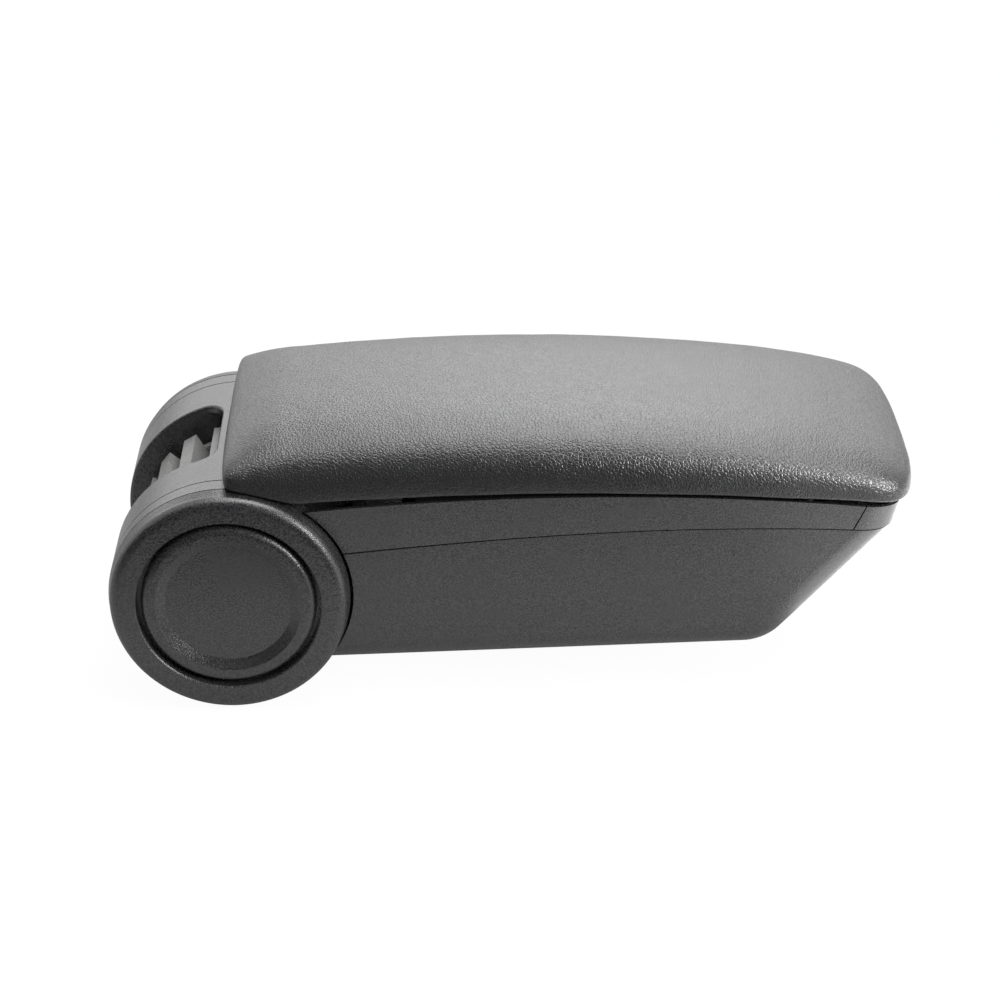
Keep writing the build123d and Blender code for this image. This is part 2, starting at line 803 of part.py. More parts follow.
with BuildPart() as arm_frame:
    add(collar_band.part)
    extrude(lever_side(-lever_gap / 2), amount=cushion_half, both=True, mode=Mode.SUBTRACT)
    add(decks.part)
    with BuildSketch(across(lug_inner + lever_lug_width), across(-lug_inner)):
        with Locations(lever_pivot):
            Circle(lever_ear_radius)
        with Locations(((front_wall_face + lever_pivot[0]) / 2, lever_pivot[1])):
            Rectangle(lever_pivot[0] - front_wall_face, 2 * lever_ear_radius)
        with Locations(lever_pivot):
            Circle(lever_pin_radius + seat_gap, mode=Mode.SUBTRACT)
    extrude(amount=lever_lug_width)
    seat_middle = spring_seat_top - spring_seat_thickness / 2
    with BuildSketch(across(lever_tail_half)):
        with Locations(((front_wall_face + spring_seat_end) / 2, seat_middle)):
            Rectangle(spring_seat_end - front_wall_face, spring_seat_thickness)
        with Locations(((front_wall_face + front_wall_end) / 2, (spring_seat_level + front_wall_low) / 2)):
            Rectangle(front_wall_thickness, front_wall_low - spring_seat_level)
    extrude(amount=2 * lever_tail_half)
    with BuildSketch(level(front_deck_top)):
        with Locations(((rear_post_x + front_post_x) / 2, 0)):
            with GridLocations(front_post_x - rear_post_x, 2 * post_y, 2, 2):
                Circle(screw_radius + running_gap)
        with Locations((front_post_x, bumper_half_spacing), (front_post_x, -bumper_half_spacing)):
            Circle(bumper_stem + seat_gap)
    extrude(amount=rear_deck_level - front_deck_top, mode=Mode.SUBTRACT)
    with BuildSketch(station(wall_front)):
        with Locations((0, saddle_screw_level)):
            with GridLocations(saddle_screw_spacing, 0, saddle_screw_count, 1):
                Circle(screw_radius + running_gap)
    extrude(amount=-deck_thickness, mode=Mode.SUBTRACT)
save(arm_frame.part, "arm_frame")

# Screws from the arm frame into the barrel's saddle
barrel_seats = []
for number in range(saddle_screw_count):
    seat_y = (number - (saddle_screw_count - 1) / 2) * saddle_screw_spacing
    seat_middle = (wall_front, seat_y, axis_height + saddle_screw_level)
    barrel_seats.append(Plane(origin=seat_middle, z_dir=(1, 0, 0)))
save(screw_set(barrel_seats, deck_thickness + screw_grip), "barrel_screws")

# Storage box: a moulded tub with a lip inside the collar and four screw posts
outer_box = box_blank(0)
inner_box = box_blank(box_wall)
lip_outer = side_walls(box_wall - seat_gap, box_level, collar_high)
lip_inner = side_walls(box_wall + lip_wall, box_level, collar_high)
with BuildPart() as box_lip:
    add(lip_outer)
    add(lip_inner, mode=Mode.SUBTRACT)
    extrude(seam_region(-lip_height, collar_high), amount=cushion_half, both=True, mode=Mode.INTERSECT)
    above_lip = seam_region(lip_height, collar_high + lip_height)
    extrude(above_lip, amount=cushion_half, both=True, mode=Mode.SUBTRACT)
    with BuildSketch(across(cushion_half)):
        with Locations(((rear_deck_end + front_deck_start) / 2, 0)):
            Rectangle(front_deck_start - rear_deck_end - 2 * running_gap, 4 * collar_high)
    extrude(amount=2 * cushion_half, mode=Mode.INTERSECT)
with BuildPart() as box_posts:
    for post_x, post_top in ((rear_post_x, rear_deck_level), (front_post_x, front_deck_level)):
        with BuildSketch(level(post_top - seat_gap)):
            with Locations((post_x, post_y), (post_x, -post_y)):
                Circle(post_radius)
        extrude(amount=box_low_rear[1] - post_top)
    add(outer_box, mode=Mode.INTERSECT)
with BuildPart() as storage_box:
    add(outer_box)
    extrude(seam_region(0, 2 * collar_high), amount=cushion_half, both=True, mode=Mode.SUBTRACT)
    add(inner_box, mode=Mode.SUBTRACT)
    add(box_lip.part)
    add(box_posts.part)
    for post_x, post_top in ((rear_post_x, rear_deck_level), (front_post_x, front_deck_level)):
        with BuildSketch(level(post_top)):
            with Locations((post_x, post_y), (post_x, -post_y)):
                Circle(screw_radius + seat_gap)
        extrude(amount=-screw_grip - screw_tip, mode=Mode.SUBTRACT)
save(storage_box.part, "storage_box")

# Screws from the decks into the box's posts
box_seats = []
for post_x, deck_top in ((rear_post_x, rear_deck_top), (front_post_x, front_deck_top)):
    for side in (1, -1):
        box_seats.append(Plane(origin=(post_x, side * post_y, axis_height + deck_top), z_dir=(0, 0, 1)))
save(screw_set(box_seats, deck_thickness + screw_grip), "box_screws")

# Latch lever: the front end of the collar, with a web, pivot ears, a tail over its spring and a tongue
tongue_front = tongue_x + tongue_thickness
lever_web_rear = lever_pivot[0] + lever_ear_radius + 2 * running_gap
with BuildPart() as lever_inside:
    with BuildSketch(across(cushion_half)):
        with Locations(((lever_web_rear + lever_web_front) / 2, lever_web_low + lever_web_thickness / 2)):
            Rectangle(lever_web_front - lever_web_rear, lever_web_thickness)
    extrude(amount=2 * cushion_half)
    extrude(lever_side(lever_gap / 2), amount=cushion_half, both=True, mode=Mode.INTERSECT)
    web_outlines = [collar_outline(height, seat_gap) for height in (collar_low, collar_high)]
    loft(web_outlines, ruled=True, mode=Mode.INTERSECT)
with BuildPart() as latch_lever:
    add(collar_band.part)
    extrude(lever_side(lever_gap / 2), amount=cushion_half, both=True, mode=Mode.INTERSECT)
    add(lever_inside.part)
    with BuildSketch(across(lever_ear_outer), across(lever_ear_width - lever_ear_outer)):
        with Locations(lever_pivot):
            Circle(lever_ear_radius)
        with Locations((lever_pivot[0] + lever_ear_radius, lever_pivot[1] - lever_ear_radius / 2)):
            Rectangle(2 * lever_ear_radius, lever_ear_radius)
        with Locations((lever_pivot[0] + lever_ear_radius, (lever_pivot[1] + lever_web_low) / 2)):
            Rectangle(2 * lever_ear_radius, lever_pivot[1] - lever_web_low)
        with Locations(lever_pivot):
            Circle(lever_pin_radius + pin_gap, mode=Mode.SUBTRACT)
    extrude(amount=lever_ear_width)
    with BuildSketch(across(lever_tail_half)):
        with Locations(((lever_tail_end + tongue_x) / 2, lever_web_low + lever_web_thickness / 2)):
            Rectangle(tongue_x - lever_tail_end, lever_web_thickness)
    extrude(amount=2 * lever_tail_half)
    with BuildSketch(across(tongue_half)):
        with Locations((tongue_x + tongue_thickness / 2, (lever_web_low + tongue_high) / 2)):
            Rectangle(tongue_thickness, tongue_high - lever_web_low)
        with Locations((tongue_front + tongue_nose / 2, tongue_high - tongue_nose_height / 2)):
            Rectangle(tongue_nose, tongue_nose_height)
    extrude(amount=2 * tongue_half)
save(latch_lever.part, "latch_lever")

with BuildPart() as latch_pins:
    with BuildSketch(across(lug_inner + lever_lug_width), across(lever_ear_width - lever_ear_outer)):
        with Locations(lever_pivot):
            Circle(lever_pin_radius)
    extrude(amount=lug_inner + lever_lug_width - lever_ear_outer + lever_ear_width)
save(latch_pins.part, "latch_pins")

# Coil spring under the lever's tail, with its ends resting on the seat and the tail
spring_low = spring_seat_top + spring_wire + pin_gap
spring_high = lever_web_low - spring_wire - pin_gap
with BuildPart() as latch_spring:
    with BuildLine(level(spring_low)):
        coil = Helix(
            pitch=(spring_high - spring_low) / spring_turns,
            height=spring_high - spring_low,
            radius=spring_coil,
            center=(spring_x, 0, 0),
        )
    with BuildSketch(Plane(origin=coil @ 0, z_dir=coil % 0)):
        Circle(spring_wire)
    sweep(path=coil, is_frenet=True)
save(latch_spring.part, "latch_spring")


def cushion_blank(inset):
    """The cushion's crowned form as a solid block, drawn in by an inset and deep enough to cut below."""
    length = cushion_front - cushion_rear
    floor = under_front[1] - section_depth
    sections = []
    for number in range(cushion_steps + 1):
        x = cushion_rear + length * (1 - cos(pi * number / cushion_steps)) / 2
        front_reach = max(0, x - cushion_front + front_roll_length) / front_roll_length
        rear_reach = max(0, cushion_rear + rear_roll_length - x) / rear_roll_length
        top = arc_height(arch, x) - front_roll_drop * front_reach**roll_power
        top = top - rear_roll_drop * rear_reach**roll_power
        edge_turn = max(0, x - cushion_front + front_edge_length) / front_edge_length
        top = top - front_edge_drop * (1 - sqrt(1 - edge_turn**2))
        front_turn = max(0, x - cushion_front + front_corner_length) / front_corner_length
        rear_turn = max(0, cushion_rear + rear_corner_length - x) / rear_corner_length
        half = cushion_half - front_corner_drop * (1 - sqrt(1 - front_turn**2))
        half = half - rear_corner_drop * (1 - sqrt(1 - rear_turn**2)) - inset
        base = under_height(x)
        rise = top - inset - base
        place = cushion_rear + inset + (x - cushion_rear) * (length - 2 * inset) / length
        crown = []
        for step in range(section_steps + 1):
            turn = pi * step / section_steps
            across_share = abs(cos(turn)) ** (2 / cushion_roundness)
            up_share = sin(turn) ** (2 / cushion_roundness) if 0 < step < section_steps else 0
            side = 1 if step * 2 < section_steps else -1
            crown.append((side * half * across_share, base + rise * up_share))
        with BuildSketch(station(place), mode=Mode.PRIVATE) as section:
            with BuildLine():
                Spline(*crown)
                Polyline((-half, base), (-half, floor), (half, floor), (half, base))
            make_face()
        sections.append(section.sketch)
    with BuildPart(mode=Mode.PRIVATE) as blank:
        loft(sections, ruled=True)
    return blank.part


# Cushion: a leatherette cover hemmed round the lid pan, with foam between them
deep = under_front[1] - 2 * section_depth
pan_low = cover_thickness + soft_gap
pan_top = pan_low + pan_thickness
cover_outside = cushion_blank(0)
cover_inside = cushion_blank(cover_thickness)
lining = cushion_blank(cover_thickness + soft_gap)
with BuildPart() as cover_hollow:
    add(cover_inside)
    extrude(under_region(cover_thickness, deep), amount=2 * cushion_half, both=True, mode=Mode.SUBTRACT)
hem_length = cushion_front - cushion_rear - 2 * cover_hem
hem_width = 2 * (cushion_half - cover_hem)
with BuildPart() as hem_opening:
    with BuildSketch(level(deep)):
        with Locations(((cushion_rear + cushion_front) / 2, 0)):
            RectangleRounded(hem_length, hem_width, front_corner_drop)
        with Locations((cushion_rear + cover_hem + front_corner_drop, 0)):
            Rectangle(2 * front_corner_drop, hem_width)
    extrude(amount=2 * barrel_radius)
    extrude(under_region(pan_low, deep), amount=cushion_half, both=True, mode=Mode.INTERSECT)
with BuildPart() as cushion_cover:
    add(cover_outside)
    extrude(under_region(0, deep), amount=2 * cushion_half, both=True, mode=Mode.SUBTRACT)
    add(cover_hollow.part, mode=Mode.SUBTRACT)
    add(hem_opening.part, mode=Mode.SUBTRACT)
    with BuildSketch(across(cushion_half)):
        Circle(lid_radius)
    extrude(amount=2 * cushion_half, mode=Mode.SUBTRACT)
save(cushion_cover.part, "cushion_cover")

with BuildPart() as foam_pad:
    add(lining)
    extrude(under_region(pan_top + seat_gap, deep), amount=2 * cushion_half, both=True, mode=Mode.SUBTRACT)
save(foam_pad.part, "foam_pad")

# Lid pan: the board inside the cushion, with skirts inside the collar and a slot for the latch tongue
collar_inside = collar_half - collar_wall
skirt_outer = collar_inside - skirt_gap
arm_y = (ring_inner + ring_outer) / 2
slot_rear = tongue_x - pan_slot_margin
strike_start = tongue_front + tongue_nose + strike_gap
with BuildPart() as skirts:
    with BuildSketch(level(deep)):
        with Locations(((skirt_start + skirt_end) / 2, skirt_outer - skirt_wall / 2)):
            Rectangle(skirt_end - skirt_start, skirt_wall)
        with Locations(((skirt_start + skirt_end) / 2, skirt_wall / 2 - skirt_outer)):
            Rectangle(skirt_end - skirt_start, skirt_wall)
    extrude(amount=2 * barrel_radius)
    under_pan = under_region(pan_low + pan_thickness / 2, deep)
    extrude(under_pan, amount=cushion_half, both=True, mode=Mode.INTERSECT)
    extrude(under_region(-skirt_depth, deep), amount=cushion_half, both=True, mode=Mode.SUBTRACT)
with BuildPart() as lid_pan:
    add(lining)
    extrude(under_region(pan_top, deep), amount=2 * cushion_half, both=True, mode=Mode.INTERSECT)
    extrude(under_region(pan_low, deep), amount=2 * cushion_half, both=True, mode=Mode.SUBTRACT)
    add(skirts.part)
    with BuildSketch(level(deep)):
        with Locations(((slot_rear + strike_start) / 2, 0)):
            Rectangle(strike_start - slot_rear, 2 * (tongue_half + pan_slot_margin))
    extrude(amount=2 * barrel_radius, mode=Mode.SUBTRACT)
    for screw_x in arm_screw_x:
        with BuildSketch(level(under_height(screw_x) + pan_low + screw_seat)):
            with Locations((screw_x, arm_y), (screw_x, -arm_y)):
                Circle(screw_head + running_gap)
        extrude(amount=pan_thickness, mode=Mode.SUBTRACT)
        with BuildSketch(level(under_height(screw_x))):
            with Locations((screw_x, arm_y), (screw_x, -arm_y)):
                Circle(screw_radius + running_gap)
        extrude(amount=pan_top, mode=Mode.SUBTRACT)
save(lid_pan.part, "lid_pan")

# Hinge arms: a ring flush with the barrel, with a pad under the lid pan
with BuildPart() as lid_arm:
    with BuildSketch(across(ring_outer)):
        Circle(barrel_radius)
        with BuildLine():
            Polyline(
                (arm_pad_start, arm_pad_low),
                (arm_pad_end, arm_pad_low),
                (arm_pad_end, under_height(arm_pad_end) + pan_low - seat_gap),
                (arm_pad_start, under_height(arm_pad_start) + pan_low - seat_gap),
                close=True,
            )
        make_face()
        Circle(pivot_radius + running_gap, mode=Mode.SUBTRACT)
    extrude(amount=ring_width)
    for screw_x in arm_screw_x:
        with BuildSketch(level(under_height(screw_x) + pan_low + screw_seat)):
            with Locations((screw_x, arm_y)):
                Circle(screw_radius + seat_gap)
        extrude(amount=-screw_seat - lid_screw_grip - screw_tip, mode=Mode.SUBTRACT)
save_pair(lid_arm.part, "lid_arm")

lid_seats = []
for screw_x in arm_screw_x:
    for side in (1, -1):
        seat_z = axis_height + under_height(screw_x) + pan_low + screw_seat
        lid_seats.append(Plane(origin=(screw_x, side * arm_y, seat_z), z_dir=(0, 0, 1)))
save(screw_set(lid_seats, screw_seat + lid_screw_grip), "lid_screws")

# Steel strike under the lid pan, in front of the latch tongue
with BuildPart() as latch_strike:
    with BuildSketch(across(strike_half)):
        with Locations((strike_start + strike_length / 2, 0)):
            Rectangle(strike_length, 4 * collar_high)
    extrude(amount=2 * strike_half)
    strike_top = under_region(pan_low - seat_gap, deep)
    strike_underside = under_region(pan_low - seat_gap - strike_thickness, deep)
    extrude(strike_top, amount=cushion_half, both=True, mode=Mode.INTERSECT)
    extrude(strike_underside, amount=cushion_half, both=True, mode=Mode.SUBTRACT)
save(latch_strike.part, "latch_strike")

# Rubber bumpers on the front deck, just under the closed lid
bumper_top = under_height(front_post_x + bumper_radius) + pan_low - running_gap
with BuildPart() as lid_bumpers:
    with BuildSketch(level(front_deck_top)):
        with GridLocations(0, 2 * bumper_half_spacing, 1, 2):
            with Locations((front_post_x, 0)):
                Circle(bumper_radius)
    extrude(amount=bumper_top - front_deck_top)
    fillet(lid_bumpers.edges().group_by(Axis.Z)[-1], bumper_round)
    with BuildSketch(level(front_deck_level)):
        with GridLocations(0, 2 * bumper_half_spacing, 1, 2):
            with Locations((front_post_x, 0)):
                Circle(bumper_stem)
    extrude(amount=deck_thickness)
save(lid_bumpers.part, "lid_bumpers")
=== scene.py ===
import json
import math

import bpy
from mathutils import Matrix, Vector, noise


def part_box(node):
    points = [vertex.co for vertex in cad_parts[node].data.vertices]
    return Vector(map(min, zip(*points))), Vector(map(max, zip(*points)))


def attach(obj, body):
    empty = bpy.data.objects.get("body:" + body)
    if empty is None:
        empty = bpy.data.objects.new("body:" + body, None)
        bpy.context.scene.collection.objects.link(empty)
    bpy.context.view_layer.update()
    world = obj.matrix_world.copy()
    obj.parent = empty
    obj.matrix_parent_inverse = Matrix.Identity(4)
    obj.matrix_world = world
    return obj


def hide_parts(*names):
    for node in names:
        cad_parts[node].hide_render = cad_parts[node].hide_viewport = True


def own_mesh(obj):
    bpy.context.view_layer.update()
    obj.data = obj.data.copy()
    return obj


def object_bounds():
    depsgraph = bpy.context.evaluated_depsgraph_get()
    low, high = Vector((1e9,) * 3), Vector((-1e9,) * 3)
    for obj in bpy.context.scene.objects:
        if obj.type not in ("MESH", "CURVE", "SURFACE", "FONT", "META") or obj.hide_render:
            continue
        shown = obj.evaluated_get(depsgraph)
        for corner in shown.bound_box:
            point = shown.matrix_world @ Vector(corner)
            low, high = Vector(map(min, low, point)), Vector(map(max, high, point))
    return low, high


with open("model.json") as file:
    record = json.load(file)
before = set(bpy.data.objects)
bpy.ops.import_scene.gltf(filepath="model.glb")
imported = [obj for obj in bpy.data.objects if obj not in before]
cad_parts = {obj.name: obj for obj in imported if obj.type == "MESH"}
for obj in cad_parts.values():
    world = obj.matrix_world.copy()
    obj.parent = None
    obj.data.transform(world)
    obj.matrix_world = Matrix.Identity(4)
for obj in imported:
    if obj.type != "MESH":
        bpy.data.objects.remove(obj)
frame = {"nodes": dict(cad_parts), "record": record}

nodes = frame["nodes"]
cadBox = [list(corner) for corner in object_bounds()]
scene = bpy.context.scene
scene.view_settings.view_transform = "Standard"
bpy.ops.object.select_all(action="DESELECT")
print("frame loaded:", len(nodes), "nodes")

# camera at the photograph's angle
cameraSet = {
    "place": (0.0905, -0.9820, 0.5541),
    "tilt": 63.04,
    "turn": -1.2,
    "lens": 93.6,
    "sensor": 36.0,
}
bpy.ops.object.camera_add(
    location=cameraSet["place"],
    rotation=(math.radians(cameraSet["tilt"]), 0, math.radians(cameraSet["turn"])),
)
camera = bpy.context.object
camera.data.lens = cameraSet["lens"]
camera.data.sensor_width = cameraSet["sensor"]
scene.camera = camera
print("camera placed")


def newMaterial(name):
    material = bpy.data.materials.new(name)
    material.use_nodes = True
    tree = material.node_tree
    return material, tree, tree.nodes["Principled BSDF"]


def addNode(tree, kind, **values):
    node = tree.nodes.new(kind)
    for key, value in values.items():
        if key in node.inputs:
            node.inputs[key].default_value = value
        else:
            setattr(node, key, value)
    return node


def addNoise(tree, coordinates, scale, detail=2.0, roughness=0.5):
    texture = addNode(tree, "ShaderNodeTexNoise", Scale=scale, Detail=detail, Roughness=roughness)
    tree.links.new(coordinates, texture.inputs["Vector"])
    return texture


def addBump(tree, height, strength, distance, below=None):
    bump = addNode(tree, "ShaderNodeBump", Strength=strength, Distance=distance)
    tree.links.new(height, bump.inputs["Height"])
    if below is not None:
        tree.links.new(below.outputs["Normal"], bump.inputs["Normal"])
    return bump


def addRange(tree, value, low, high, fromLow=0.0, fromHigh=1.0):
    spread = addNode(tree, "ShaderNodeMapRange")
    spread.inputs["From Min"].default_value = fromLow
    spread.inputs["From Max"].default_value = fromHigh
    spread.inputs["To Min"].default_value = low
    spread.inputs["To Max"].default_value = high
    tree.links.new(value, spread.inputs["Value"])
    return spread.outputs["Result"]


def addTint(tree, value, dark, light):
    ramp = addNode(tree, "ShaderNodeValToRGB")
    ramp.color_ramp.elements[0].color = (*dark, 1)
    ramp.color_ramp.elements[1].color = (*light, 1)
    tree.links.new(value, ramp.inputs["Fac"])
    return ramp.outputs["Color"]


def seenRay(tree, straight, mirrored):
    # a share for rays from the camera, and one for reflections and rays through glass
    path = addNode(tree, "ShaderNodeLightPath")
    rayShares = {"Is Camera Ray": straight, "Is Glossy Ray": mirrored, "Is Transmission Ray": mirrored}
    shares = []
    for ray, share in rayShares.items():
        scaled = addNode(tree, "ShaderNodeMath", operation="MULTIPLY")
        scaled.inputs[1].default_value = share
        tree.links.new(path.outputs[ray], scaled.inputs[0])
        shares.append(scaled.outputs[0])
    most = shares[0]
    for share in shares[1:]:
        larger = addNode(tree, "ShaderNodeMath", operation="MAXIMUM")
        tree.links.new(most, larger.inputs[0])
        tree.links.new(share, larger.inputs[1])
        most = larger.outputs[0]
    return most


# floor and white surround
floorSet = {
    "size": 9.0,
    "middle": (0.1, 1.0),
    "drop": 0.0004,
    "colour": (0.44, 0.44, 0.44, 1),
    "rough": 0.9,
    "shine": 0.1,
    "white": 1.06,
    "glow": 0.91,
    "mirrorGlow": 0.08,
}
floorHeight = cadBox[0][2] - floorSet["drop"]
bpy.ops.mesh.primitive_plane_add(size=floorSet["size"], location=(*floorSet["middle"], floorHeight))
bpy.ops.object.transform_apply()
floor = bpy.context.object
floor.name = "paleFloor"
floorPaint, floorTree, floorShader = newMaterial("palePaper")
floorShader.inputs["Base Color"].default_value = floorSet["colour"]
floorShader.inputs["Roughness"].default_value = floorSet["rough"]
floorShader.inputs["Specular IOR Level"].default_value = floorSet["shine"]
whiteGlow = addNode(floorTree, "ShaderNodeEmission", Strength=floorSet["white"])
floorMix = addNode(floorTree, "ShaderNodeMixShader")
floorTree.links.new(seenRay(floorTree, floorSet["glow"], floorSet["mirrorGlow"]), floorMix.inputs["Fac"])
floorTree.links.new(floorShader.outputs["BSDF"], floorMix.inputs[1])
floorTree.links.new(whiteGlow.outputs["Emission"], floorMix.inputs[2])
floorTree.links.new(floorMix.outputs["Shader"], floorTree.nodes["Material Output"].inputs["Surface"])
floor.data.materials.append(floorPaint)

surroundSet = {"seen": 1.0, "fill": 0.2}
world = bpy.data.worlds.new("whiteStudio")
world.use_nodes = True
scene.world = world
worldTree = world.node_tree
seenLight = worldTree.nodes["Background"]
seenLight.inputs["Color"].default_value = (1, 1, 1, 1)
seenLight.inputs["Strength"].default_value = surroundSet["seen"]
fillLight = addNode(worldTree, "ShaderNodeBackground", Color=(1, 1, 1, 1), Strength=surroundSet["fill"])
worldMix = addNode(worldTree, "ShaderNodeMixShader")
worldTree.links.new(seenRay(worldTree, 1.0, 1.0), worldMix.inputs["Fac"])
worldTree.links.new(fillLight.outputs["Background"], worldMix.inputs[1])
worldTree.links.new(seenLight.outputs["Background"], worldMix.inputs[2])
worldTree.links.new(worldMix.outputs["Shader"], worldTree.nodes["World Output"].inputs["Surface"])

# soft boxes: place, aim, width, height, power
lampSet = {
    "backBox": {"place": (0.30, 1.35, 0.65), "aim": (0.30, 0, 0.06), "size": (3.1, 0.8), "power": 9.4},
    "topBox": {"place": (0.35, 0.45, 1.3), "aim": (0.34, 0.45, 0), "size": (3.1, 0.9), "power": 33.0},
    "rightBox": {"place": (0.72, -0.5, 0.42), "aim": (0.12, 0, 0.04), "size": (0.30, 0.30), "power": 6.0},
}
for lampName, lamp in lampSet.items():
    aim = Vector(lamp["aim"]) - Vector(lamp["place"])
    turn = aim.to_track_quat("-Z", "Y").to_euler()
    bpy.ops.object.light_add(type="AREA", location=lamp["place"], rotation=turn)
    lampObject = bpy.context.object
    lampObject.name = lampName
    lampObject.data.shape = "RECTANGLE"
    lampObject.data.size, lampObject.data.size_y = lamp["size"]
    lampObject.data.energy = lamp["power"]


def placeCard(name, place, size, tilt, paint):
    # seen only in reflections
    bpy.ops.mesh.primitive_plane_add(size=1.0, location=place, rotation=(math.radians(tilt), 0, 0))
    card = bpy.context.object
    card.name = name
    card.scale = (*size, 1)
    bpy.ops.object.transform_apply()
    card.visible_camera = False
    card.visible_diffuse = False
    card.visible_shadow = False
    card.data.materials.append(paint)


# dark card on the camera's side, so that the near side shades off
cardSet = {"place": (-0.68, -0.18, 0.200), "size": (1.83, 0.41), "tilt": 90, "colour": (0.01, 0.01, 0.01, 1)}
cardPaint, _, cardShader = newMaterial("darkFelt")
cardShader.inputs["Base Color"].default_value = cardSet["colour"]
cardShader.inputs["Roughness"].default_value = 1.0
placeCard("darkCard", cardSet["place"], cardSet["size"], cardSet["tilt"], cardPaint)

# white bounce card on the floor under the front end
bounceSet = {
    "place": (0.44, 0.04),
    "lift": 0.0002,
    "size": (0.38, 0.34),
    "tilt": 0,
    "colour": (0.8, 0.8, 0.8, 1),
    "glow": 0.65,
}
bouncePaint, _, bounceShader = newMaterial("whiteCard")
bounceShader.inputs["Base Color"].default_value = bounceSet["colour"]
bounceShader.inputs["Emission Color"].default_value = (1, 1, 1, 1)
bounceShader.inputs["Emission Strength"].default_value = bounceSet["glow"]
bouncePlace = (*bounceSet["place"], floorHeight + bounceSet["lift"])
placeCard("bounceCard", bouncePlace, bounceSet["size"], bounceSet["tilt"], bouncePaint)
print("floor, lamps and cards placed")


# black leatherette: small rounded pebbles with fine creases between them
leatherSet = {
    "pebble": 1350.0,
    "smooth": 0.35,
    "crease": 700.0,
    "creaseWidth": 0.22,
    "wander": 240.0,
    "warp": 0.0006,
    "swell": 45.0,
    "softBump": (0.10, 0.001),
    "creaseBump": (0.58, 0.00015),
    "pebbleBump": (0.58, 0.00009),
    "dark": (0.012, 0.012, 0.013),
    "light": (0.024, 0.024, 0.025),
    "gloss": (0.27, 0.37),
    "shine": 0.9,
}


def makeLeatherette():
    material, tree, shader = newMaterial("blackLeatherette")
    place = addNode(tree, "ShaderNodeTexCoord").outputs["Object"]
    wander = addNoise(tree, place, leatherSet["wander"])
    offset = addNode(tree, "ShaderNodeVectorMath", operation="MULTIPLY_ADD")
    offset.inputs[1].default_value = (leatherSet["warp"],) * 3
    tree.links.new(wander.outputs["Color"], offset.inputs[0])
    tree.links.new(place, offset.inputs[2])
    pebble = addNode(tree, "ShaderNodeTexVoronoi", feature="SMOOTH_F1", Scale=leatherSet["pebble"])
    pebble.inputs["Smoothness"].default_value = leatherSet["smooth"]
    tree.links.new(offset.outputs["Vector"], pebble.inputs["Vector"])
    crease = addNode(tree, "ShaderNodeTexVoronoi", feature="DISTANCE_TO_EDGE", Scale=leatherSet["crease"])
    tree.links.new(offset.outputs["Vector"], crease.inputs["Vector"])
    creaseDepth = addRange(tree, crease.outputs["Distance"], 0.0, 1.0, 0.0, leatherSet["creaseWidth"])
    pebbleHeight = addRange(tree, pebble.outputs["Distance"], 1.0, 0.0, 0.1, 0.75)
    swell = addNoise(tree, place, leatherSet["swell"], 3.0)
    soft = addBump(tree, swell.outputs["Fac"], *leatherSet["softBump"])
    creased = addBump(tree, creaseDepth, *leatherSet["creaseBump"], soft)
    grained = addBump(tree, pebbleHeight, *leatherSet["pebbleBump"], creased)
    tree.links.new(grained.outputs["Normal"], shader.inputs["Normal"])
    tint = addTint(tree, pebbleHeight, leatherSet["dark"], leatherSet["light"])
    tree.links.new(tint, shader.inputs["Base Color"])
    low, high = leatherSet["gloss"]
    tree.links.new(addRange(tree, pebbleHeight, high, low), shader.inputs["Roughness"])
    shader.inputs["Specular IOR Level"].default_value = leatherSet["shine"]
    return material


# mouldings with a fine eroded texture, rubber and foam
plasticSet = {
    "black_plastic": {
        "name": "blackMoulding", "dark": (0.010, 0.010, 0.011), "light": (0.044, 0.044, 0.046),
        "gloss": (0.22, 0.30), "grain": 1250.0, "speck": 2200.0, "depth": 0.95, "shine": 1.0,
    },
    "grey_plastic": {
        "name": "greyMoulding", "dark": (0.19, 0.19, 0.187), "light": (0.27, 0.27, 0.266),
        "gloss": (0.42, 0.55), "grain": 900.0, "speck": 2000.0, "depth": 0.2,
    },
    "white_plastic": {
        "name": "whiteBush", "dark": (0.66, 0.65, 0.61), "light": (0.76, 0.75, 0.71),
        "gloss": (0.35, 0.45), "grain": 700.0, "speck": 1800.0, "depth": 0.15,
    },
    "friction_lining": {
        "name": "frictionLining", "dark": (0.13, 0.10, 0.075), "light": (0.24, 0.19, 0.15),
        "gloss": (0.75, 0.9), "grain": 1100.0, "speck": 1500.0, "depth": 0.6,
    },
    # the lid's under face is real black moulding, made nearly black and barely reflective as painted shade
    # in the gap under the cushion
    "lid_board_painted_shade": {
        "name": "lidBoardPaintedShade", "dark": (0.005, 0.005, 0.005), "light": (0.009, 0.009, 0.009),
        "gloss": (0.75, 0.85), "grain": 1300.0, "speck": 2200.0, "depth": 0.3, "shine": 0.1,
    },
    "rubber": {
        "name": "bumperRubber", "dark": (0.016, 0.016, 0.016), "light": (0.028, 0.028, 0.028),
        "gloss": (0.7, 0.82), "grain": 1300.0, "speck": 2000.0, "depth": 0.3,
    },
    "foam": {
        "name": "padFoam", "dark": (0.22, 0.22, 0.21), "light": (0.36, 0.36, 0.35),
        "gloss": (0.9, 1.0), "grain": 800.0, "speck": 1300.0, "depth": 0.9,
    },
}
grainDrop, speckDrop = 0.00016, 0.00006  # depth of the bumps in metres


